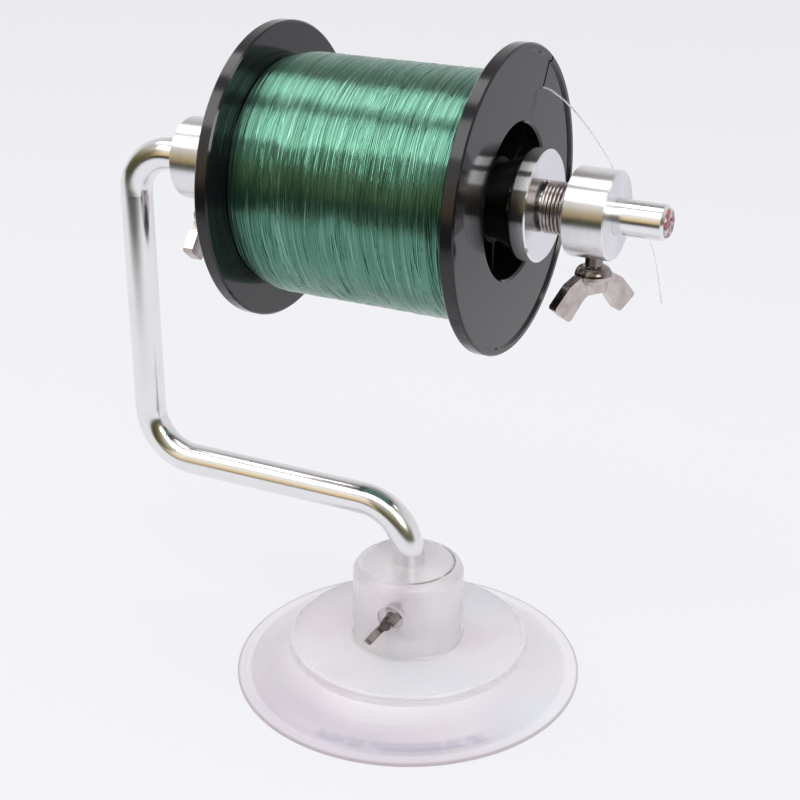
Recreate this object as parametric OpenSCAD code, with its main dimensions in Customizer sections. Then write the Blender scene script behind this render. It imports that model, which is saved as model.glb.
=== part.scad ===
// Line spool holder: a suction cup carries a bent rod, and the rod's level end carries
// a spool of fishing line between two sprung cones and two stop collars.
// Millimetres. Origin: centre of the cup's underside. +Z up, spindle along +X.

/* [Suction cup] */
// Diameter of the cup's lip
cup_d = 110; // [108:1:116]
// Diameter of the raised flat round the hub
plateau_d = 75.6; // [74:0.2:78]
// Height of that flat
plateau_h = 12.4; // [12:0.1:13]
// Diameter of the hub
hub_d = 35.2; // [34:0.2:37]
// Height of the hub's top
hub_h = 38.2; // [37:0.2:42]

/* [Rod] */
// Diameter of the round rod
rod_d = 10; // [9.8:0.1:10.2]
// Height of the level run's centre line
run_h = 56.7; // [56:0.1:66]
// Height of the spindle's centre line
spindle_h = 159.6; // [156:0.2:170]
// Distance from the cup's axis back to the upright
reach = 95; // [94:0.5:100]
// Distance from the cup's axis to the rod's free end
spindle_end = 76; // [75:0.5:80]
// Centre line radius of the two lower bends
low_bend_r = 16; // [14:0.5:17]
// Centre line radius of the bend into the spindle
top_bend_r = 14; // [12:0.5:14]

/* [Collars, cones and springs] */
// Diameter of a stop collar
collar_d = 24.6; // [24:0.2:26]
// Width of a stop collar
collar_w = 12; // [11:0.5:12]
// Diameter of a cone's flange
cone_d = 31.2; // [30:0.2:32]
// Thickness of a cone's flange
cone_w = 5.8; // [5:0.1:6]
// Wire diameter of a spring
wire_d = 0.8; // [0.7:0.05:0.8]
// Outside diameter of a spring
spring_d = 14.6; // [14.4:0.1:16]
// Turns of a spring
spring_turns = 6.5; // [4.5:0.5:6.5]

/* [Spool] */
// Diameter of the flanges
flange_d = 86.5; // [82:0.5:87]
// Thickness of a flange
flange_t = 4.2; // [3.6:0.1:4.4]
// Overall width of the spool
spool_w = 78; // [77:0.5:79]
// Inside diameter of the barrel
barrel_bore_d = 43.6; // [42:0.2:44]
// Diameter over the wound line
pack_d = 70.5; // [66:0.5:71]

/* [Hidden] */
$fn = 96;

// Clearances: a sliding fit on the rod, and the gap kept between parts that move
fit = 0.05;
gap = 0.3;
rod_r = rod_d / 2;
bore_r = rod_r + fit;

// Cup: lip, skirt and the hollow underneath
cup_r = cup_d / 2;
lip_t = 0.8;
seat_w = 4.5;
plateau_r = plateau_d / 2;
plateau_round = 1.2;
step_r = plateau_r + 0.7;
step_h = plateau_h - 2.8;
hollow_h = 8.2;
hub_r = hub_d / 2;
hub_round = 3.5;
hub_foot_round = 1.4;
socket_floor = 14;

// Cup bolt: its height, its turn round the hub towards the free end, the moulded-in nut
cup_bolt_h = 26.8;
cup_bolt_az = 7;
cup_bolt_size = 0.6;
cup_bolt_turn = 47;
cup_boss_r = 2.9;
nut_af = 5.5;
nut_t = 2.4;
nut_at = 9;
recess_r = 4.2;
recess_deep = 1.5;

// Wing bolt at its full size (M5); heights along the screw run out from the seat face
screw_r = 2.5;
screw_fit = 0.05;
screw_bevel = 0.4;
stem_r = 1.6;
stem_top = 8.8;
boss_at = 2.4;
boss_top = 4.8;
boss_r = 5.1;
wing_t = 3.2;
wing_half = [[5.6, 5, 0], [9, 7, 3], [13.9, 12.8, 1], [8.6, 17.3, 1], [4, 11.2, 1.5],
    [2.6, 10.4, 1]];
wing_hub = [[5.2, 4.8], [5.2, 5.8], [4.2, 7], [3.7, 9.4]];
right_bolt_turn = -57;
left_bolt_turn = 90;

// Collars and cones: the edges' bevel, the cone's round shoulder and a collar's radius
bevel = 0.4;
cone_round = 1.6;
collar_r = collar_d / 2;

// Stations along the spindle
spool_mid = -6;
spool_right = spool_mid + spool_w / 2;
spool_left = spool_mid - spool_w / 2;
right_wall = spool_right - flange_t;
left_wall = spool_left + flange_t;
cone_gap = 2.4;
cone_face = spool_right + cone_gap + cone_w;
collar_in = cone_face + 8.8;
flange_r = flange_d / 2;
rim_w = 1.8;
web_sink = 0.7;
slit_w = 0.9;
slit_az = 32;
slit_r = 33.6;

// Cone nose and the arbor that it centres
nose_r = 13.6;
nose_tip_r = 8.6;
nose_len = 12;
arbor_sink = 6;
arbor_wall = 1.6;
arbor_fins = 6;
fin_t = 1.4;
fin_sink = 7;
fin_r = barrel_bore_d / 2 - 0.03;
barrel_wall = 2.2;
nose_slope = (nose_r - nose_tip_r) / nose_len;
arbor_r = nose_r - (cone_gap + arbor_sink) * nose_slope + gap;

// Rod end plug
plug_r = 3.9;
plug_deep = 5;
plug_out = 0.7;
end_bevel = 0.8;

// Winding: the outer layer of turns, drawn thick, over the plain core
turn_d = 2.3;
turns = 24;
turn_steps = 24;
tube_sides = 6;
core_r = pack_d / 2 - turn_d - 0.4;
wind_r = pack_d / 2 - turn_d / 2;

// Spring coils
coil_steps = 8;

// Loose end of the line: out through the slit, then down in a springy curve
line_d = 0.5;
tail_sides = 6;
tail_rings = 62;
tail_route = [[29, 17.7, 187.9], [32.5, 17.7, 187.9], [35, 20, 186.2], [38, 26, 181],
    [42.5, 33, 172], [47, 37, 163], [53, 40, 151], [59, 42, 139], [61, 43, 132], [63, 44, 120.5]];

// ---- Shared shapes -------------------------------------------------------------

function unit(v) = v / norm(v);

// Points of an arc in the plane, from angle a to angle b
function arc(centre, r, a, b, steps = 6) =
    [for (i = [0:steps]) centre + r * [cos(a + (b - a) * i / steps), sin(a + (b - a) * i / steps)]];

// A closed outline of [x, y, rounding] corners, with each corner rounded by an arc
function rounded(corners, steps = 3) = [for (i = [0:len(corners) - 1])
    let (n = len(corners), r = corners[i][2],
        p = [corners[i][0], corners[i][1]],
        u = unit(xy(corners[(i + n - 1) % n]) - p),
        v = unit(xy(corners[(i + 1) % n]) - p),
        half = acos(u * v) / 2,
        centre = p + unit(u + v) * r / sin(half),
        from = p + u * r / tan(half) - centre,
        to = p + v * r / tan(half) - centre)
    each r == 0 ? [p] : [for (k = [0:steps]) centre
        + r * unit(from * sin((90 - half) * 2 * (1 - k / steps)) + to * sin((90 - half) * 2 * k / steps))]];

function xy(corner) = [corner[0], corner[1]];

// A point of a cubic curve with end points p, s and handles q, r
function bezier(p, q, r, s, t) =
    pow(1 - t, 3) * p + 3 * t * pow(1 - t, 2) * q + 3 * t * t * (1 - t) * r + t * t * t * s;

// A smooth curve through the points of a route, at parameter u = 0 .. len - 1
function along(route, u) =
    let (n = len(route) - 1, i = min(floor(u), n - 1), t = u - i,
        b = route[i], c = route[i + 1],
        a = i > 0 ? route[i - 1] : 2 * b - c,
        d = i < n - 1 ? route[i + 2] : 2 * c - b)
    0.5 * (2 * b + (c - a) * t + (2 * a - 5 * b + 4 * c - d) * t * t
        + (3 * b - a - 3 * c + d) * t * t * t);

// Round a coil about the X axis, with a straight stretch of lead at each end
function coil(r, x0, x1, turns, steps, lead) =
    let (n = ceil(turns * steps),
        body = [for (i = [0:n]) let (a = 360 * turns * i / n)
            [x0 + (x1 - x0) * i / n, r * sin(a), r * cos(a)]])
    concat([body[0] + lead * unit([0, -1, 0])], body,
        [body[n] + lead * unit([0, cos(360 * turns), -sin(360 * turns)])]);

// Direction of travel at point i of a path
function heading(path, i) =
    unit(path[min(i + 1, len(path) - 1)] - path[max(i - 1, 0)]);

// A closed round tube along a path; side(point) is a direction that never runs along it
module tube(path, r, sides, about_x) {
    n = len(path);
    rings = [for (i = [0:n - 1])
        let (t = heading(path, i),
            side = about_x ? [0, path[i][1], path[i][2]] : [0.2, 1, -0.3],
            e = unit(side - (side * t) * t),
            f = cross(t, e))
        for (k = [0:sides - 1]) path[i] + r * (cos(360 * k / sides) * e + sin(360 * k / sides) * f)];
    walls = [for (i = [0:n - 2], k = [0:sides - 1])
        let (a = i * sides + k, b = i * sides + (k + 1) % sides)
        each [[a, a + sides, b], [b, a + sides, b + sides]]];
    start = [for (k = [1:sides - 2]) [0, k, k + 1]];
    end = [for (k = [1:sides - 2]) (n - 1) * sides * [1, 1, 1] + [0, k + 1, k]];
    polyhedron(rings, concat(walls, start, end), convexity = 10);
}

// Least gap between neighbouring turns, measured between points one turn apart
function turn_gap(path, steps, d) =
    min([for (i = [1:len(path) - 2 - steps]) norm(path[i + steps] - path[i])]) - d;

// A ring turned about the X axis from a profile of [radius, x] points
module turned(profile) rotate([90, 0, 90]) rotate_extrude() polygon(profile);

// Places its child at the spindle, mirrored to the left end of the spool if asked
module on_spindle(left = false)
    translate([spool_mid, 0, spindle_h])
        mirror([left ? 1 : 0, 0, 0])
            translate([-spool_mid, 0, 0]) children();

// ---- Suction cup ----------------------------------------------------------------

function cup_outline() = concat(
    [[0, hollow_h], [0, hub_h]],
    arc([hub_r - hub_round, hub_h - hub_round], hub_round, 90, 0),
    arc([hub_r + hub_foot_round, plateau_h + hub_foot_round], hub_foot_round, 180, 270, 4),
    arc([plateau_r - plateau_round, plateau_h - plateau_round], plateau_round, 90, 0, 4),
    [for (i = [0:8]) bezier([step_r, step_h], [step_r + 4, step_h - 3], [cup_r - 8, lip_t + 1.4],
        [cup_r, lip_t], i / 8)],
    [[cup_r, 0], [cup_r - seat_w, 0]],
    [for (i = [1:8]) bezier([cup_r - seat_w, 0], [cup_r - 12, 2.4], [plateau_r, hollow_h],
        [plateau_r - 9, hollow_h], i / 8)]);

// Turns its child so that local +Z points out of the hub at the cup bolt
module at_cup_bolt()
    rotate([0, 0, cup_bolt_az]) translate([0, 0, cup_bolt_h]) rotate([90, 0, 0]) children();

module suction_cup() {
    color([0.88, 0.86, 0.9, 0.55]) difference() {
        rotate_extrude() polygon(cup_outline());
        translate([0, 0, socket_floor]) cylinder(r = bore_r, h = hub_h);
        at_cup_bolt() {
            cylinder(r = cup_bolt_size * screw_r + 0.3, h = cup_r);
            translate([0, 0, hub_r - recess_deep]) cylinder(r = recess_r, h = hub_r);
            translate([0, 0, nut_at]) cylinder(d = nut_af / cos(30), h = nut_t, $fn = 6);
        }
    }
}

module cup_nut() {
    color([0.7, 0.66, 0.6]) at_cup_bolt() translate([0, 0, nut_at]) difference() {
        cylinder(d = nut_af / cos(30), h = nut_t, $fn = 6);
        translate([0, 0, -1]) cylinder(r = cup_bolt_size * screw_r, h = nut_t + 2);
    }
}

// ---- Wing bolts -----------------------------------------------------------------

// Quarter of an ellipse that swells from [r0, z0] out to [r1, z1]
function dome(r0, z0, r1, z1) =
    [for (a = [0:15:90]) [r0 + (r1 - r0) * sin(a), z1 - (z1 - z0) * cos(a)]];

// Screw of size s with its domed boss; tip_at is how far the tip lies below the seat face
module wing_screw(s, boss, tip_at) {
    shank_r = s * screw_r - screw_fit;
    color([0.36, 0.33, 0.32]) rotate_extrude() polygon(concat(
        [[0, -tip_at], [shank_r - screw_bevel, -tip_at], [shank_r, screw_bevel - tip_at]],
        s * dome(shank_r / s, boss_at, boss, boss_top),
        s * [[stem_r, boss_top], [stem_r, stem_top], [0, stem_top]]));
}

// Wings of size s: a flat V on a flared hub no wider than the boss's own width allows
module wings(s, boss) {
    corners = concat(wing_half, [for (i = [len(wing_half) - 1:-1:0])
        [-wing_half[i][0], wing_half[i][1], wing_half[i][2]]]);
    bore = s * stem_r + 0.02;
    flare = boss == boss_r ? wing_hub[0][0] : boss;
    color([0.62, 0.57, 0.56]) difference() {
        union() {
            rotate([90, 0, 0]) translate([0, 0, -s * wing_t / 2])
                linear_extrude(s * wing_t) polygon(s * rounded(corners));
            rotate_extrude() polygon(s * concat([[0, boss_top]],
                [for (p = wing_hub) [min(p[0], flare), p[1]]],
                [[0, wing_hub[len(wing_hub) - 1][1]]]));
        }
        translate([0, 0, s * boss_top - 1]) cylinder(r = bore, h = 1 + s * (stem_top - boss_top));
    }
}

module cup_bolt_screw() at_cup_bolt() translate([0, 0, hub_r - recess_deep])
    wing_screw(cup_bolt_size, cup_boss_r, hub_r - recess_deep - rod_r - gap);
module cup_bolt_wings() at_cup_bolt() translate([0, 0, hub_r - recess_deep])
    rotate([0, 0, cup_bolt_turn]) wings(cup_bolt_size, cup_boss_r);

// ---- Bent rod -------------------------------------------------------------------

// A quarter bend of the rod about the Y axis, from angle a, centred at x, z
module bend(x, z, r, a)
    translate([x, 0, z]) rotate([90, 0, 0]) rotate([0, 0, a])
        rotate_extrude(angle = 90) translate([r, 0]) circle(r = rod_r);

module arm_rod() {
    stub_foot = socket_floor + gap;
    color([0.83, 0.83, 0.85]) union() {
        translate([0, 0, stub_foot]) cylinder(r = rod_r, h = run_h - low_bend_r - stub_foot);
        bend(-low_bend_r, run_h - low_bend_r, low_bend_r, 0);
        translate([low_bend_r - reach, 0, run_h]) rotate([0, 90, 0])
            cylinder(r = rod_r, h = reach - 2 * low_bend_r);
        bend(low_bend_r - reach, run_h + low_bend_r, low_bend_r, 180);
        translate([-reach, 0, run_h + low_bend_r])
            cylinder(r = rod_r, h = spindle_h - top_bend_r - run_h - low_bend_r);
        bend(top_bend_r - reach, spindle_h - top_bend_r, top_bend_r, 90);
        translate([0, 0, spindle_h]) difference() {
            turned([[0, top_bend_r - reach], [rod_r, top_bend_r - reach],
                [rod_r, spindle_end - end_bevel], [rod_r - end_bevel, spindle_end],
                [0, spindle_end]]);
            translate([spindle_end - plug_deep, 0, 0]) rotate([0, 90, 0])
                cylinder(r = plug_r, h = plug_deep + 1);
        }
    }
}

module rod_end_plug() {
    color([0.75, 0.25, 0.3]) translate([0, 0, spindle_h])
        turned([[0, spindle_end - plug_deep], [plug_r, spindle_end - plug_deep],
            [plug_r, spindle_end + plug_out - 0.4], [plug_r - 0.4, spindle_end + plug_out],
            [1.8, spindle_end + plug_out], [1.4, spindle_end + plug_out - 0.5],
            [0, spindle_end + plug_out - 0.5]]);
}

// ---- Collars, cones and springs -----------------------------------------------------

module collar() {
    color([0.85, 0.85, 0.87]) difference() {
        turned([[bore_r, collar_in], [collar_r - bevel, collar_in],
            [collar_r, collar_in + bevel], [collar_r, collar_in + collar_w - bevel],
            [collar_r - bevel, collar_in + collar_w], [bore_r, collar_in + collar_w]]);
        translate([collar_in + collar_w / 2, 0, -collar_r - 1])
            cylinder(r = screw_r, h = collar_r);
    }
}

module at_collar_bolt(turn)
    translate([collar_in + collar_w / 2, 0, -collar_r]) rotate([180, 0, 0])
        rotate([0, 0, turn]) children();

module collar_screw() wing_screw(1, boss_r, collar_r - rod_r - gap);

module cone() {
    color([0.87, 0.86, 0.88]) turned([[bore_r, cone_face - cone_w - nose_len],
        [nose_tip_r, cone_face - cone_w - nose_len], [nose_r, cone_face - cone_w],
        each arc([cone_d / 2 - cone_round, cone_face - cone_w + cone_round], cone_round, -90, 0),
        [cone_d / 2, cone_face - bevel], [cone_d / 2 - bevel, cone_face], [bore_r, cone_face]]);
}

module spring() {
    seat = wire_d / 2 + 0.05;
    path = coil((spring_d - wire_d) / 2, cone_face + seat, collar_in - seat,
        spring_turns, coil_steps, wire_d);
    echo(least_gap_between_spring_turns = turn_gap(path, coil_steps, wire_d));
    color([0.45, 0.42, 0.4]) tube(path, wire_d / 2, tube_sides, true);
}

module left_collar() on_spindle(left = true) collar();
module left_cone() on_spindle(left = true) cone();
module left_spring() on_spindle(left = true) spring();
module left_bolt_screw() on_spindle(left = true) at_collar_bolt(0) collar_screw();
module left_bolt_wings() on_spindle(left = true) at_collar_bolt(left_bolt_turn)
    wings(1, boss_r);

module right_collar() on_spindle() collar();
module right_cone() on_spindle() cone();
module right_spring() on_spindle() spring();
module right_bolt_screw() on_spindle() at_collar_bolt(0) collar_screw();
module right_bolt_wings() on_spindle() at_collar_bolt(right_bolt_turn) wings(1, boss_r);

// ---- Spool and line -----------------------------------------------------------------

// A flange whose outer face carries a raised rim, from wall (inside) to face (outside)
module flange(wall, face) {
    out = face > wall ? 1 : -1;
    turned([[barrel_bore_d / 2, wall], [flange_r - 0.5, wall], [flange_r, wall + 0.5 * out],
        [flange_r, face - 0.5 * out], [flange_r - 0.5, face], [flange_r - rim_w, face],
        [flange_r - rim_w - 0.5, face - web_sink * out],
        [barrel_bore_d / 2 + 0.6, face - web_sink * out],
        [barrel_bore_d / 2, face - (web_sink + 0.6) * out]]);
}

module spool_flange_left()
    color([0.09, 0.09, 0.1]) translate([0, 0, spindle_h]) flange(left_wall, spool_left);

module spool_flange_right() {
    color([0.09, 0.09, 0.1]) translate([0, 0, spindle_h]) difference() {
        flange(right_wall, spool_right);
        rotate([-slit_az, 0, 0]) translate([right_wall - 1, 0, slit_r]) {
            translate([0, -slit_w / 2, 0]) cube([flange_t + 2, slit_w, flange_r]);
            rotate([0, 90, 0]) cylinder(d = slit_w, h = flange_t + 2);
        }
    }
}

// Places its child with local +Z along the spindle, centred on the spool's width
module in_spool() translate([spool_mid, 0, spindle_h]) rotate([0, 90, 0]) children();

module spool_barrel() {
    length = right_wall - left_wall;
    color([0.12, 0.12, 0.13]) in_spool() difference() {
        cylinder(r = barrel_bore_d / 2 + barrel_wall, h = length, center = true);
        cylinder(r = barrel_bore_d / 2, h = length + 2, center = true);
    }
}

// Tube that the cones centre, on six fins inside the barrel
module spool_hub() {
    fin_length = spool_w - 2 * fin_sink;
    color([0.1, 0.1, 0.11]) in_spool() difference() {
        union() {
            cylinder(r = arbor_r + arbor_wall, h = spool_w - 2 * arbor_sink, center = true);
            intersection() {
                cylinder(r = fin_r, h = fin_length, center = true);
                for (i = [0:arbor_fins - 1]) rotate([0, 0, 360 * i / arbor_fins])
                    translate([0, -fin_t / 2, -fin_length / 2])
                        cube([flange_r, fin_t, fin_length]);
            }
        }
        cylinder(r = arbor_r, h = spool_w, center = true);
    }
}

module line_pack() {
    color([0.3, 0.6, 0.47]) translate([0, 0, spindle_h])
        turned([[barrel_bore_d / 2 + barrel_wall, left_wall], [core_r, left_wall],
            [core_r, right_wall], [barrel_bore_d / 2 + barrel_wall, right_wall]]);
}

module line_winding() {
    end = turn_d / 2 + 0.2;
    path = coil(wind_r, left_wall + end, right_wall - end, turns, turn_steps, turn_d);
    echo(least_gap_between_turns = turn_gap(path, turn_steps, turn_d));
    color([0.36, 0.68, 0.54]) translate([0, 0, spindle_h])
        tube(path, turn_d / 2, tube_sides, true);
}

module line_tail() {
    last = len(tail_route) - 1;
    path = [for (i = [0:tail_rings - 1]) along(tail_route, last * i / (tail_rings - 1))];
    color([0.8, 0.88, 0.85]) tube(path, line_d / 2, tail_sides, false);
}

suction_cup();
cup_nut();
cup_bolt_screw();
cup_bolt_wings();
arm_rod();
rod_end_plug();
left_collar();
left_bolt_screw();
left_bolt_wings();
left_spring();
left_cone();
spool_flange_left();
spool_barrel();
spool_hub();
spool_flange_right();
line_pack();
line_winding();
line_tail();
right_cone();
right_spring();
right_collar();
right_bolt_screw();
right_bolt_wings();
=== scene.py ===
"""Looks for the line spool holder: metres, +Z up, spindle along +X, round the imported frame."""

import math
import random

import bmesh
import bpy
from mathutils import Matrix, Vector


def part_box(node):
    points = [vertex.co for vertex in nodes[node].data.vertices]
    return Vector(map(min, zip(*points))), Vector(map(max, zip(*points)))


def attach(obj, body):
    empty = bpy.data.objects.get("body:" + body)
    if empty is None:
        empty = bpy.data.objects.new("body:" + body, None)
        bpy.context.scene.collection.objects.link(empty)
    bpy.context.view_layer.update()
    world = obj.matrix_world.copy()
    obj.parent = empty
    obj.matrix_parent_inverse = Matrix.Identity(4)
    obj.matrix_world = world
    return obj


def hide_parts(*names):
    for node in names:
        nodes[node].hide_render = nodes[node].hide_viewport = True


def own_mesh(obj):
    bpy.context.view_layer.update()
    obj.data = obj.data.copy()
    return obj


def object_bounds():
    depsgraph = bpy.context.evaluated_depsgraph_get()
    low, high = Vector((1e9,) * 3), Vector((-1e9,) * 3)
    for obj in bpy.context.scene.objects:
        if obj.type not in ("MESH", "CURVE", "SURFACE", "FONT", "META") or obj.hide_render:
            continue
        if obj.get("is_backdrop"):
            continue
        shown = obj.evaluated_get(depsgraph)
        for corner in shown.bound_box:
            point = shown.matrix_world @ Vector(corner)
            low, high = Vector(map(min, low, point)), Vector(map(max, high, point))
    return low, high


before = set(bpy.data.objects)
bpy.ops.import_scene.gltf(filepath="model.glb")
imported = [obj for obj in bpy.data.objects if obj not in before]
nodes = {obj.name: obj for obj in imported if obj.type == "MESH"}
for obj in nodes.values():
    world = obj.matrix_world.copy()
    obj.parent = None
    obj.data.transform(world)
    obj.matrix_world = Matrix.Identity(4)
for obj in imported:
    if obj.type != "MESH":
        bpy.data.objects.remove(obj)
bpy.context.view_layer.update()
MM = 0.001


# ---- Camera -------------------------------------------------------------------------
# The stand was photographed from its front right and a little above, with a long lens.
# The place and the angles come from a fit to the rod, the collars and the cup's circles.
# The film and the focal length are in millimetres.

EYE_PLACE = (0.19019, -0.39268, 0.28517)
EYE_PITCH, EYE_YAW, EYE_ROLL = (math.radians(angle) for angle in (23.72, 26.21, 0.16))
FILM_WIDTH = 36.0
FOCAL_LENGTH = 71.14

photo_eye = bpy.data.cameras.new("photo_eye")
photo_eye.sensor_width = FILM_WIDTH
photo_eye.lens = FOCAL_LENGTH
eye = bpy.data.objects.new("photo_eye", photo_eye)
bpy.context.collection.objects.link(eye)
eye.location = EYE_PLACE
look = (Matrix.Rotation(EYE_YAW, 4, "Z") @ Matrix.Rotation(math.radians(90) - EYE_PITCH, 4, "X")
        @ Matrix.Rotation(EYE_ROLL, 4, "Z"))
eye.rotation_euler = look.to_euler()
bpy.context.scene.camera = eye


# ---- Loose end of the line --------------------------------------------------------------
# One strand of clear nylon line comes out through the slit in the right flange.
# It is springy, so it stands away from the spool before it hangs down to its bare end.

TAIL_D = 0.5 * MM
TAIL_ROUTE = [(29, 17.7, 187.9), (32.5, 17.7, 187.9), (35, 20, 186.2), (38, 26, 181),
              (42.5, 33, 172), (47, 37, 163), (53, 40, 151), (59, 42, 139), (61, 43, 132),
              (63, 44, 120.5)]
TAIL_STEPS = 110
TAIL_SIDES = 10
ACROSS_TAIL = Vector((0.2, 1, -0.3))


def along(route, u):
    """A point of the smooth curve through a route, u running from 0 to its last index."""
    last = len(route) - 1
    i = min(int(u), last - 1)
    t = u - i
    start, end = route[i], route[i + 1]
    before = route[i - 1] if i > 0 else 2 * start - end
    after = route[i + 2] if i < last - 1 else 2 * end - start
    return 0.5 * (2 * start + (end - before) * t
                  + (2 * before - 5 * start + 4 * end - after) * t ** 2
                  + (3 * start - before - 3 * end + after) * t ** 3)


def finished(name, mesh, smooth=True):
    """Turns a bmesh into an object whose faces all look outwards."""
    bmesh.ops.recalc_face_normals(mesh, faces=mesh.faces)
    data = bpy.data.meshes.new(name)
    mesh.to_mesh(data)
    mesh.free()
    if smooth:
        data.shade_smooth()
    piece = bpy.data.objects.new(name, data)
    bpy.context.collection.objects.link(piece)
    return piece


def sweep(name, path, radius, sides, up):
    """A closed round tube along a path; up(point) never runs along the path there."""
    mesh = bmesh.new()
    rings = []
    last = len(path) - 1
    for i, point in enumerate(path):
        ahead = path[min(i + 1, last)] - path[max(i - 1, 0)]
        ahead.normalize()
        side = up(point) - ahead * up(point).dot(ahead)
        side.normalize()
        over = ahead.cross(side)
        rings.append([mesh.verts.new(point + radius * (math.cos(a) * side + math.sin(a) * over))
                      for a in (2 * math.pi * k / sides for k in range(sides))])
    for ring, following in zip(rings, rings[1:]):
        for k in range(sides):
            j = (k + 1) % sides
            mesh.faces.new((ring[k], ring[j], following[j], following[k]))
    mesh.faces.new(reversed(rings[0]))
    mesh.faces.new(rings[-1])
    return finished(name, mesh)


def rgba(colour):
    """Red, green, blue and full cover; a plain number stands for a grey."""
    return (colour,) * 3 + (1,) if isinstance(colour, (int, float)) else (*colour, 1)


class Shading:
    """A node tree, of a finish or of the room, and the steps that all of them share."""

    def __init__(self, tree):
        self.nodes = tree.nodes
        self.links = tree.links

    def feed(self, target, value):
        """Links another node's output to an input, or sets the input to a plain value."""
        if isinstance(value, bpy.types.NodeSocket):
            self.links.new(value, target)
        elif target.type == "RGBA":
            target.default_value = rgba(value)
        else:
            target.default_value = value

    def fill(self, node, **inputs):
        """Feeds a node's inputs by name, with _ for a space."""
        for name, value in inputs.items():
            self.feed(node.inputs[name.replace("_", " ")], value)
        return node

    def add(self, kind, **inputs):
        return self.fill(self.nodes.new(kind), **inputs)

    def maths(self, operation, one, other=0):
        made = self.nodes.new("ShaderNodeMath")
        made.operation = operation
        self.feed(made.inputs[0], one)
        self.feed(made.inputs[1], other)
        return made.outputs[0]

    def times(self, one, other):
        return self.maths("MULTIPLY", one, other)

    def span(self, source, low, high, out_low=0, out_high=1):
        """Maps a value from one range to another and holds it at the ends."""
        made = self.add("ShaderNodeMapRange", Value=source, From_Min=low, From_Max=high,
                        To_Min=out_low, To_Max=out_high)
        return made.outputs["Result"]

    def ramp(self, source, *stops):
        made = self.add("ShaderNodeValToRGB", Fac=source)
        band = made.color_ramp.elements
        for i, (at, colour) in enumerate(stops):
            stop = band[i] if i < 2 else band.new(at)
            stop.position = at
            stop.color = rgba(colour)
        return made.outputs["Color"]

    def mix(self, share, under, over):
        """Lays colour over on colour under by a 0 to 1 share."""
        made = self.nodes.new("ShaderNodeMix")
        made.data_type = "RGBA"
        in_use = [socket for socket in made.inputs if socket.enabled]
        for value, target in zip((share, under, over), in_use):
            self.feed(target, value)
        return next(socket for socket in made.outputs if socket.enabled)

    def layer(self, share, under, over):
        """Lays one shader on another by a 0 to 1 share."""
        made = self.nodes.new("ShaderNodeMixShader")
        for value, target in zip((share, under, over), made.inputs):
            self.feed(target, value)
        return made.outputs[0]


class Finish(Shading):
    """A piece's material: one shader, and the patterns that the finishes share."""

    def __init__(self, name, **inputs):
        self.material = bpy.data.materials.new(name)
        self.material.use_nodes = True
        super().__init__(self.material.node_tree)
        self.shader = self.nodes["Principled BSDF"]
        self.set(**inputs)

    def set(self, **inputs):
        self.fill(self.shader, **inputs)

    def place(self, scale=(1, 1, 1)):
        """Object coordinates in metres, stretched per axis."""
        where = self.nodes.new("ShaderNodeTexCoord").outputs["Object"]
        return self.add("ShaderNodeMapping", Vector=where, Scale=scale).outputs["Vector"]

    def millimetres(self):
        """The object's x, y and z in millimetres."""
        return self.add("ShaderNodeSeparateXYZ", Vector=self.place((1 / MM,) * 3)).outputs

    def noise(self, scale, detail=3.0, stretch=(1, 1, 1), rough=0.55):
        """Clouds from 0 to 1, about scale of them in a metre."""
        made = self.add("ShaderNodeTexNoise", Vector=self.place(stretch), Scale=scale,
                        Detail=detail, Roughness=rough)
        return made.outputs["Fac"]

    def bump(self, height, strength):
        made = self.add("ShaderNodeBump", Height=height, Strength=strength, Distance=0.2 * MM)
        return made.outputs["Normal"]

    def off_axis(self, one, other):
        """Distance from an axis, out of the two coordinates across it."""
        return self.maths("SQRT", self.maths("ADD", self.times(one, one), self.times(other, other)))

    def wear(self, piece):
        """Puts the material on every slot of a piece."""
        if not piece.data.materials:
            piece.data.materials.append(self.material)
        for i in range(len(piece.data.materials)):
            piece.data.materials[i] = self.material


def clear_nylon():
    m = Finish("clear_nylon", Roughness=0.25, IOR=1.22, Transmission_Weight=0.75)
    m.set(Base_Color=m.ramp(m.noise(300, 2), (0.3, (0.86, 0.9, 0.89)), (0.7, (0.95, 0.97, 0.97))))
    return m


route = [Vector(p) * MM for p in TAIL_ROUTE]
tail_path = [along(route, (len(route) - 1) * i / TAIL_STEPS) for i in range(TAIL_STEPS + 1)]
loose_end = sweep("loose_end", tail_path, TAIL_D / 2, TAIL_SIDES, lambda point: ACROSS_TAIL)
clear_nylon().wear(loose_end)
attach(loose_end, "spool")
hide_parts("line_tail")


# ---- Suction cup --------------------------------------------------------------------------
# Moulded in soft clear PVC that has gone milky: a thin flat lip, a flared skirt with a
# small step, a flat shoulder and a solid hub bored for the rod. The sizes are in
# millimetres from the cup's axis and from the floor.

MILKY_TINTS = ((0.32, (0.88, 0.82, 0.87)), (0.5, (0.92, 0.89, 0.9)), (0.68, (0.87, 0.88, 0.92)))
STEP_RING, STEP_TINT = (38.5, 41.5), (0.84, 0.79, 0.83)
# the skirt's tint carries painted shade, and the lip's edge tint is painted shade
SKIRT_START, SKIRT_TINT_AND_SHADE = (39, 44), (0.68, 0.62, 0.68)
LIP_EDGE, LIP_EDGE_SHADE = (54.1, 54.8), (0.4, 0.33, 0.34)
DAMP_RING, DAMP_TINT = (48.2, 50.2), (0.5, 0.48, 0.58)
# the dark line is painted shade where light bends through the clear hub
BENT_LIGHT_LINE_RING, BENT_LIGHT_SHADE = (14.4, 14.8), (0.16, 0.14, 0.13)
SHOULDER_EDGE, SHOULDER_TOP = (36.6, 37.9), (10.5, 11)
HUB_EDGE, HUB_TOP = (14.8, 17.8), (36, 37)


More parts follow.
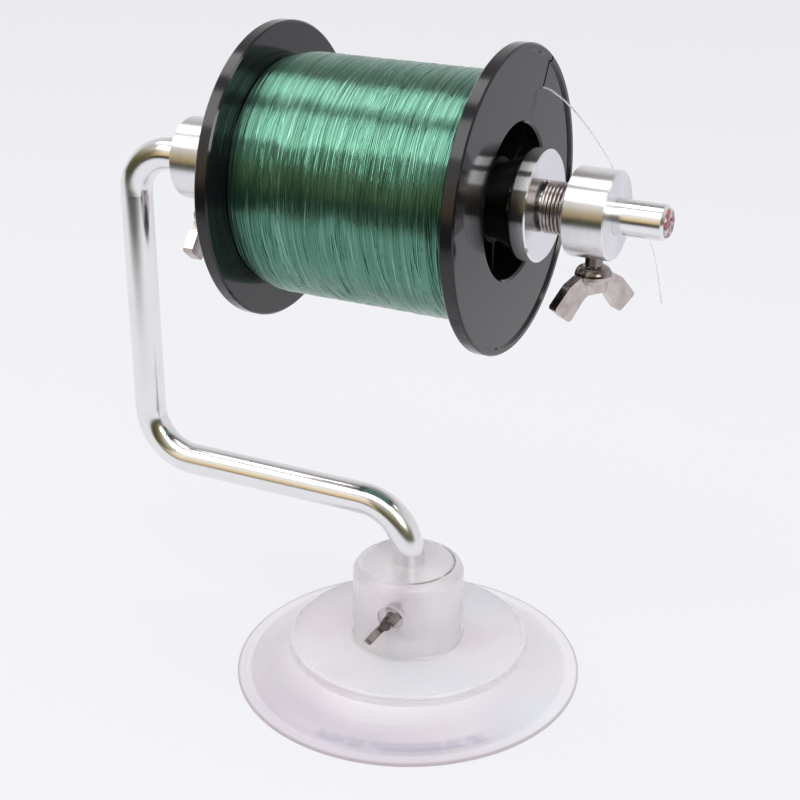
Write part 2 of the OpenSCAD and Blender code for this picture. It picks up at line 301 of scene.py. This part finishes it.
def milky_pvc():
    m = Finish("milky_pvc", IOR=1.38, Transmission_Weight=0.58, Coat_Weight=0.1,
               Coat_Roughness=0.15)
    across, depth, height = m.millimetres()
    from_axis = m.off_axis(across, depth)

    def ring(radii, soft):
        """1 between two radii, fading to 0 over a soft width on both sides."""
        inner, outer = radii
        return m.times(m.span(from_axis, inner - soft, inner),
                       m.span(from_axis, outer, outer + soft, 1, 0))

    # the step is a little darker; the skirt is tinted pinker and painted darker, most at the
    # front, as painted shade; the lip's edge is painted dark as painted shade
    tint = m.mix(m.times(ring(STEP_RING, 3), 0.5), m.ramp(m.noise(28), *MILKY_TINTS), STEP_TINT)
    skirt = m.times(m.span(from_axis, *SKIRT_START), m.span(depth, -46, -10, 0.85, 0.1))
    tint = m.mix(skirt, tint, SKIRT_TINT_AND_SHADE)
    tint = m.mix(m.span(from_axis, *LIP_EDGE, 0, 0.8), tint, LIP_EDGE_SHADE)
    # damp patches cling just inside the lip at the front
    front = m.times(m.span(across, -8, -5), m.span(depth, -31, -28, 1, 0))
    patches = m.span(m.noise(60), 0.45, 0.5, 0, 0.7)
    tint = m.mix(m.times(m.times(ring(DAMP_RING, 0.7), front), patches), tint, DAMP_TINT)
    # a thin dark line is painted round the rim of the hub's flat top on the side of the free
    # end: painted shade where light bends through the clear hub
    beside_rod = m.times(m.span(height, *HUB_TOP), m.span(across, 5, 9))
    line_breaks = m.span(m.noise(160, 2), 0.36, 0.5, 0.2, 0.9)
    tint = m.mix(m.times(m.times(ring(BENT_LIGHT_LINE_RING, 0.3), beside_rod), line_breaks), tint, BENT_LIGHT_SHADE)
    # moulded edges are glossier than the flat skin
    gloss = m.mix(m.times(ring(SHOULDER_EDGE, 0.2), m.span(height, *SHOULDER_TOP)), 0.3, 0.08)
    gloss = m.mix(ring(HUB_EDGE, 0.2), gloss, 0.12)
    m.set(Base_Color=tint, Roughness=gloss)
    return m


milky_pvc().wear(nodes["suction_cup"])


# ---- Bent rod ---------------------------------------------------------------------------
# A 10 mm drawn aluminium rod, polished and bent cold at three places. Its free end is
# bevelled and closed by a small red plug.


def polished_aluminium():
    m = Finish("drawn_rod", Metallic=1.0)
    grain = m.noise(60, 4)
    m.set(Base_Color=m.ramp(grain, (0.25, (0.8, 0.8, 0.81)), (0.75, (0.86, 0.86, 0.87))),
          Roughness=m.span(m.noise(45, 4), 0.3, 0.7, 0.13, 0.22), Normal=m.bump(grain, 0.05))
    return m


def red_cap():
    """Soft red plastic, rubbed pale where the rod's end has been knocked."""
    m = Finish("red_cap", Roughness=0.42)
    red = m.ramp(m.noise(500), (0.35, (0.26, 0.05, 0.07)), (0.7, (0.42, 0.12, 0.15)))
    worn = m.noise(330, 2, (1, 1, 1.2))
    rim_of_knock, knock = m.span(worn, 0.42, 0.46, 0, 0.8), m.span(worn, 0.47, 0.53, 0, 0.9)
    red = m.mix(rim_of_knock, red, (0.09, 0.05, 0.055))
    m.set(Base_Color=m.mix(knock, red, (0.5, 0.46, 0.45)))
    return m


polished_aluminium().wear(nodes["arm_rod"])
red_cap().wear(nodes["rod_end_plug"])


# ---- Collars and cones ---------------------------------------------------------------------
# Both are turned from aluminium bar on a lathe, and the fine rings that the tool leaves
# run round them. The cones' tapered noses, deep in the spool's bore, are painted black as
# painted shade, and their flanges are painted grey next to the nose as a painted
# reflection of the spool's black flange.

SPOOL_MIDDLE_X = (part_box("spool_flange_left")[0].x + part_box("spool_flange_right")[1].x) / 2
CONE_FLANGE_T = 5.8 * MM
FLANGE_FROM_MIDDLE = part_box("right_cone")[1].x - CONE_FLANGE_T - SPOOL_MIDDLE_X
# a painted reflection of the spool's black flange, and painted shade on the cones' noses
SPOOL_REFLECTION_GREY, NOSE_SHADE_BLACK, NOSE_SHADE_ROUGHNESS = (0.3, 0.29, 0.3), 0.02, 0.5


def lathe_turned(name, smooth, rough, painted_shade_and_reflection=False):
    """Bright metal whose turned rings spread what it mirrors along the spindle."""
    m = Finish(name, Metallic=1.0, Anisotropic=0.9, Anisotropic_Rotation=0.25)
    rings = m.noise(45, 4, (30, 1, 1))
    metal = m.ramp(rings, (0.25, (0.8, 0.795, 0.81)), (0.75, (0.87, 0.865, 0.88)))
    shine = m.ramp(m.noise(45, 4), (0.3, smooth), (0.7, rough))
    # painted shade on the noses, and a painted reflection of the spool's black flange beside them
    if painted_shade_and_reflection:
        across = m.millimetres()[0]
        from_middle = m.maths("ABSOLUTE", m.maths("SUBTRACT", across, SPOOL_MIDDLE_X / MM))
        flange = FLANGE_FROM_MIDDLE / MM
        painted_spool_reflection = m.span(from_middle, flange + 2.1, flange + 5.2, 0.75, 0)
        nose = m.span(from_middle, flange - 0.1, flange + 0.2, 1, 0)
        metal = m.mix(nose, m.mix(painted_spool_reflection, metal, SPOOL_REFLECTION_GREY), NOSE_SHADE_BLACK)
        shine = m.mix(nose, shine, NOSE_SHADE_ROUGHNESS)
    round_axis = m.nodes.new("ShaderNodeTangent")
    round_axis.direction_type = "RADIAL"
    round_axis.axis = "X"
    m.set(Base_Color=metal, Roughness=shine, Normal=m.bump(rings, 0.06),
          Tangent=round_axis.outputs["Tangent"])
    return m


collar_finish = lathe_turned("turned_bar", 0.26, 0.36)
cone_finish = lathe_turned("bright_cone", 0.14, 0.2, painted_shade_and_reflection=True)
for side in ("left", "right"):
    collar_finish.wear(nodes[side + "_collar"])
    cone_finish.wear(nodes[side + "_cone"])


# ---- Springs ---------------------------------------------------------------------------
# Each is wound from round steel wire and pushes its cone into the spool. The turns lie
# close together at the cone and open out towards the collar.

SPRING_WIRE = 1.0 * MM
SPRING_TURNS = 7
SPRING_OPENING = 1.12
SPINDLE_Z = (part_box("line_pack")[0].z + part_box("line_pack")[1].z) / 2
COIL_STEPS = 40
WIRE_SIDES = 12


def round_spindle(x, radius, angle):
    """A point at a radius from the spindle's centre line; an angle of 0 is straight up."""
    return Vector((x, radius * math.sin(angle), SPINDLE_Z + radius * math.cos(angle)))


def outward(point):
    return Vector((0, point.y, point.z - SPINDLE_Z))


def spring_turns(cone_end, collar_end, radius):
    steps = SPRING_TURNS * COIL_STEPS
    path = []
    for u in (i / steps for i in range(steps + 1)):
        x = cone_end + (collar_end - cone_end) * u ** SPRING_OPENING
        path.append(round_spindle(x, radius, 2 * math.pi * SPRING_TURNS * u))
    return path


def spring_steel():
    m = Finish("spring_steel", Metallic=1.0, Roughness=0.24)
    m.set(Base_Color=m.ramp(m.noise(400), (0.3, (0.26, 0.23, 0.22)), (0.7, (0.48, 0.44, 0.42))))
    return m


wire_finish = spring_steel()
for side, cone_way in (("left", 1), ("right", -1)):
    low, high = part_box(side + "_spring")
    # the left spring has its cone at its right end, and the right spring at its left end
    ends = (low.x + SPRING_WIRE / 2, high.x - SPRING_WIRE / 2)
    collar_end, cone_end = ends[::cone_way]
    coil_r = (high.z - low.z) / 2 - SPRING_WIRE / 2
    wire = sweep(side + "_coil", spring_turns(cone_end, collar_end, coil_r), SPRING_WIRE / 2,
                 WIRE_SIDES, outward)
    wire_finish.wear(wire)
    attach(wire, side + "_stop")
    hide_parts(side + "_spring")
    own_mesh(wire)


# ---- Wing bolts ---------------------------------------------------------------------------
# Nickel plated thumb screws. On the collars the wings are a satin casting on a dark,
# bright screw, and on the cup they are small and tarnished.


def dark_nickel(name, rough, dark, pale):
    m = Finish(name, Metallic=1.0, Roughness=rough)
    m.set(Base_Color=m.ramp(m.noise(350), (0.3, dark), (0.7, pale)))
    return m


def satin_nickel():
    m = Finish("satin_nickel", Metallic=1.0)
    m.set(Base_Color=m.ramp(m.noise(260, 4), (0.3, (0.44, 0.385, 0.37)), (0.7, (0.66, 0.6, 0.58))),
          Roughness=m.span(m.noise(180), 0.3, 0.7, 0.16, 0.28), Normal=m.bump(m.noise(300), 0.12))
    return m


screw_finish = dark_nickel("dark_nickel", 0.2, (0.16, 0.13, 0.12), (0.34, 0.3, 0.29))
tarnished = dark_nickel("tarnished_nickel", 0.36, (0.09, 0.075, 0.07), (0.17, 0.145, 0.14))
satin = satin_nickel()
for place, wing_finish in (("cup", tarnished), ("left", satin), ("right", satin)):
    screw_finish.wear(nodes[place + "_bolt_screw"])
    wing_finish.wear(nodes[place + "_bolt_wings"])
screw_finish.wear(nodes["cup_nut"])


# ---- Spool ---------------------------------------------------------------------------
# Two flanges and a finned barrel, injection moulded in black plastic. The flanges are
# polished, most evenly on their rims, 43 mm out from the spindle. The barrel and its hub
# are as they came from the core of the mould.

RIM_START, RIM_ROUGHNESS = (43.0, 43.2), 0.15


def black_moulding(name, smooth, rough, shine, even_rim=False):
    m = Finish(name, IOR=1.5, Specular_IOR_Level=shine)
    black = m.ramp(m.noise(30, 2), (0.3, (0.004, 0.004, 0.005)), (0.7, (0.007, 0.0065, 0.008)))
    polish = m.ramp(m.noise(60, 4), (0.3, smooth), (0.75, rough))
    if even_rim:
        _, depth, height = m.millimetres()
        from_axis = m.off_axis(depth, m.maths("SUBTRACT", height, SPINDLE_Z / MM))
        polish = m.mix(m.span(from_axis, *RIM_START), polish, RIM_ROUGHNESS)
    m.set(Base_Color=black, Roughness=polish)
    return m


gloss_black = black_moulding("gloss_black", 0.07, 0.16, 0.5, even_rim=True)
for part in ("spool_flange_left", "spool_flange_right"):
    gloss_black.wear(nodes[part])
core_black = black_moulding("core_black", 0.5, 0.6, 0.12)
for part in ("spool_barrel", "spool_hub"):
    core_black.wear(nodes[part])


# ---- Wound line ---------------------------------------------------------------------------
# Green nylon line, level wound: close turns side by side, with some that ride over
# their neighbours at a slight angle where the layer turned back.

LINE_D = 0.42 * MM
pack_low, pack_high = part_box("line_pack")
wound_low, wound_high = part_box("line_winding")
WOUND_R = (wound_high.z - wound_low.z) / 2
LEFT_FALL, RIGHT_FALL = (2 * MM, 9 * MM), (0.8 * MM, 4 * MM)
TURN_POINTS = 84
WANDER, SINK = 0.14 * MM, 0.08 * MM
SAGS = ((2, 0.12 * MM), (5, 0.1 * MM), (9, 0.09 * MM), (13, 0.06 * MM))
CROSSING_STRANDS = 170
PALE_STRAND_EVERY = 4


def green_nylon(name, dark, pale):
    """Clear green line: it throws light back tinted, so it takes most of a metal's shine."""
    m = Finish(name, Metallic=0.94, Coat_Weight=0.6, Coat_Roughness=0.22)
    m.set(Base_Color=m.ramp(m.noise(1, 2, (1500, 14, 14), 0.7), (0.3, dark), (0.72, pale)),
          Roughness=m.span(m.noise(1, 2, (900, 40, 40)), 0.3, 0.7, 0.1, 0.24))
    return m


def fall(inwards, depth, reach):
    """How far the winding falls towards a flange, at a place so far inwards from it."""
    return depth * max(0, 1 - inwards / reach) ** 2


def ripple(x, angle):
    """Two fine waves along the spindle, which lean one way and the other round a turn."""
    return (0.05 * MM * math.sin(x / (0.46 * MM) + 1.5 * math.sin(2 * angle))
            + 0.04 * MM * math.sin(x / (0.27 * MM) + 2 * math.sin(3 * angle + 1)))


def between(values, turn, part):
    """The value part of the way from one turn's to the next turn's."""
    return values[turn] + (values[turn + 1] - values[turn]) * part


def level_turns():
    """The top layer: one strand from flange to flange, never quite even."""
    low, high = pack_low.x + 0.3 * MM, pack_high.x - 0.3 * MM
    turns = int((high - low) / LINE_D)
    drift = [random.uniform(-WANDER, WANDER) for _ in range(turns + 2)]
    lift = [random.uniform(-SINK, 0) for _ in range(turns + 2)]
    # each turn sags a little between the turns below, at almost the same places as its
    # neighbour does, and not at its top, where it joins that neighbour
    waves = [[count, depth, random.uniform(0, 6.3)] for count, depth in SAGS]
    path = []
    for turn in range(turns):
        for wave in waves:
            wave[2] += random.uniform(-0.8, 0.8)
        for part in (k / TURN_POINTS for k in range(TURN_POINTS)):
            angle = 2 * math.pi * part
            x = low + (high - low) * (turn + part) / turns + between(drift, turn, part)
            sag = sum(depth * math.sin(count * angle + phase) for count, depth, phase in waves)
            sag *= min(1, 6 * part, 6 * (1 - part))
            r = (WOUND_R - 1.6 * LINE_D - fall(x - low, *LEFT_FALL)
                 - fall(high - x, *RIGHT_FALL) + between(lift, turn, part)
                 + sag + ripple(x, angle))
            path.append(round_spindle(min(max(x, low), high), r, angle))
    # drawn twice as thick, so that no gap shows between two turns
    return sweep("level_turns", path, LINE_D, 8, outward)


def riding_strand():
    """A strand that crosses the others at a small angle, for up to a little over a turn."""
    low, high = pack_low.x + 1.5 * MM, pack_high.x - 1.5 * MM
    start = random.uniform(low, high)
    first_angle = random.uniform(0, 2 * math.pi)
    turned = random.uniform(1, 7)
    slope = random.choice((-1, 1)) * random.uniform(0.5, 2.6) * MM
    steps = int(turned * 9) + 2
    path = []
    for u in (i / steps for i in range(steps + 1)):
        x = min(max(start + slope * turned * u, low), high)
        dive = 0.6 * LINE_D * (2 * u - 1) ** 4
        r = (WOUND_R - LINE_D - dive - 0.12 * MM * random.random()
             - fall(x - low, *LEFT_FALL))
        path.append(round_spindle(x, r, first_angle + turned * u))
    return sweep("riding_strand", path, LINE_D * 0.7, 6, outward)


random.seed(11)
line_finish = green_nylon("green_nylon", (0.04, 0.15, 0.095), (0.115, 0.3, 0.22))
pale_finish = green_nylon("pale_nylon", (0.1, 0.27, 0.2), (0.2, 0.39, 0.31))
bed = level_turns()
line_finish.wear(bed)
crossing = [riding_strand() for _ in range(CROSSING_STRANDS)]
for number, strand in enumerate(crossing):
    (line_finish if number % PALE_STRAND_EVERY else pale_finish).wear(strand)
with bpy.context.temp_override(active_object=bed, selected_editable_objects=[bed] + crossing):
    bpy.ops.object.join()
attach(bed, "spool")
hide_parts("line_winding")
line_finish.wear(nodes["line_pack"])


# ---- Floor and light --------------------------------------------------------------------
# A white paper sheet under two long soft boxes, with a small one at the right. All that
# shines mirrors pale paper behind the stand, and a dark room in front of it with a tan
# panel at the left.

PAPER = (0.87, 0.868, 0.9)
PAPER_FRONT, PAPER_BACK, PAPER_SIDE = -0.41, 4, 3
SHADED_BACK = 0.44
FRONT_EDGE_TONE, SHADED_TONE = (0.26, 0.23, 0.2), (0.76, 0.75, 0.82)
CEILING = ((0.85, (0.5, 0.47, 0.45)), (0.93, (0.34, 0.31, 0.31)))
DARK_WALL = ((0.38, (0.04, 0.05, 0.035)), (0.5, (0.07, 0.065, 0.02)), (0.6, (0.15, 0.13, 0.04)),
             (0.68, (0.3, 0.27, 0.18)), (0.76, (0.5, 0.46, 0.4))) + CEILING
TAN_PANEL = ((0.38, (0.04, 0.05, 0.035)), (0.455, (0.09, 0.07, 0.04)),
             (0.5, (0.66, 0.47, 0.23)), (0.56, (0.85, 0.65, 0.38)), (0.65, (0.95, 0.82, 0.6)),
             (0.72, (1, 0.97, 0.92)), (0.78, (0.85, 0.82, 0.78))) + CEILING
BACK_PAPER = ((0.5, (0.85, 0.85, 0.87)), (0.8, (0.7, 0.69, 0.7)), (0.92, (0.26, 0.23, 0.22)))
PANEL_PLACE = ((0.17, 0), (0.21, 1), (0.39, 1), (0.42, 0))


def studio_paper():
    """White paper: it glows evenly, a mirror shows its ends darker, and shadows fall on it."""
    m = Finish("studio_paper", Roughness=0.9, Base_Color=(0.86, 0.86, 0.87))
    rays = m.nodes.new("ShaderNodeLightPath").outputs
    depth = m.span(m.millimetres()[1], PAPER_FRONT / MM, SHADED_BACK / MM)
    mirrored_tone = m.ramp(depth, (0, FRONT_EDGE_TONE), (0.18, PAPER), (0.8, PAPER),
                           (1, SHADED_TONE))
    tone = m.mix(rays["Is Glossy Ray"], PAPER, mirrored_tone)
    glow = m.add("ShaderNodeEmission", Color=tone, Strength=1.0)
    seen = m.maths("MAXIMUM", rays["Is Camera Ray"], rays["Is Glossy Ray"])
    seen = m.maths("MAXIMUM", seen, rays["Is Transmission Ray"])
    paper_and_glow = m.layer(m.times(seen, 0.86), m.shader.outputs[0], glow.outputs[0])
    m.fill(m.nodes["Material Output"], Surface=paper_and_glow)
    return m


paper = bmesh.new()
paper.faces.new([paper.verts.new((x, y, 0)) for x, y in (
    (-PAPER_SIDE, PAPER_FRONT), (PAPER_SIDE, PAPER_FRONT),
    (PAPER_SIDE, PAPER_BACK), (-PAPER_SIDE, PAPER_BACK))])
sheet = finished("studio_sheet", paper, smooth=False)
studio_paper().wear(sheet)
sheet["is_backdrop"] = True

world = bpy.data.worlds.new("room")
bpy.context.scene.world = world
world.use_nodes = True
room = Shading(world.node_tree)
paper_white = room.fill(room.nodes["Background"], Color=PAPER)
soft_fill = room.add("ShaderNodeBackground", Color=(0.9, 0.9, 0.93), Strength=0.62)

# what a shiny piece sees, by the way it looks: height is 0 straight down, 1 straight up
way = room.nodes.new("ShaderNodeTexCoord").outputs["Generated"]
to_right, to_back, upward = room.add("ShaderNodeSeparateXYZ", Vector=way).outputs
height = room.span(upward, -1, 1)
panel_here = room.ramp(room.span(to_right, -1, 1), *PANEL_PLACE)
front_wall = room.mix(panel_here, room.ramp(height, *DARK_WALL), room.ramp(height, *TAN_PANEL))
walls = room.mix(room.span(to_back, -0.15, 0.25), front_wall, room.ramp(height, *BACK_PAPER))
mirrored = room.add("ShaderNodeBackground", Color=walls)

rays = room.nodes.new("ShaderNodeLightPath").outputs
plain = room.layer(rays["Is Diffuse Ray"], paper_white.outputs[0], soft_fill.outputs[0])
seen = room.layer(rays["Is Glossy Ray"], plain, mirrored.outputs[0])
room.fill(room.nodes["World Output"], Surface=seen)


def soft_box(name, place, aim, size, watts):
    """A lamp behind white cloth, hung over the stand and tipped towards a point."""
    data = bpy.data.lights.new(name, "AREA")
    data.shape = "RECTANGLE"
    data.size, data.size_y = size
    data.energy = watts
    lamp = bpy.data.objects.new(name, data)
    bpy.context.collection.objects.link(lamp)
    lamp.location = place
    lamp.rotation_euler = (Vector(aim) - Vector(place)).to_track_quat("-Z", "Y").to_euler()


BELOW_BOXES, ROD_MIDDLE = (-0.1, 0, 0.16), (0, 0, 0.1)
soft_box("front_box", (-0.1, -0.46, 0.84), BELOW_BOXES, (1.4, 0.42), 5.1)
soft_box("back_box", (-0.1, 0.06, 0.84), BELOW_BOXES, (1.4, 0.28), 3.4)
soft_box("side_box", (0.6, -0.4, 0.5), ROD_MIDDLE, (0.3, 0.3), 1.5)

bpy.context.scene.view_settings.view_transform = "Standard"


# ---- Bounds ------------------------------------------------------------------------------
# The bounds of all that is drawn, but the backdrop, after dressing.

low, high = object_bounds()
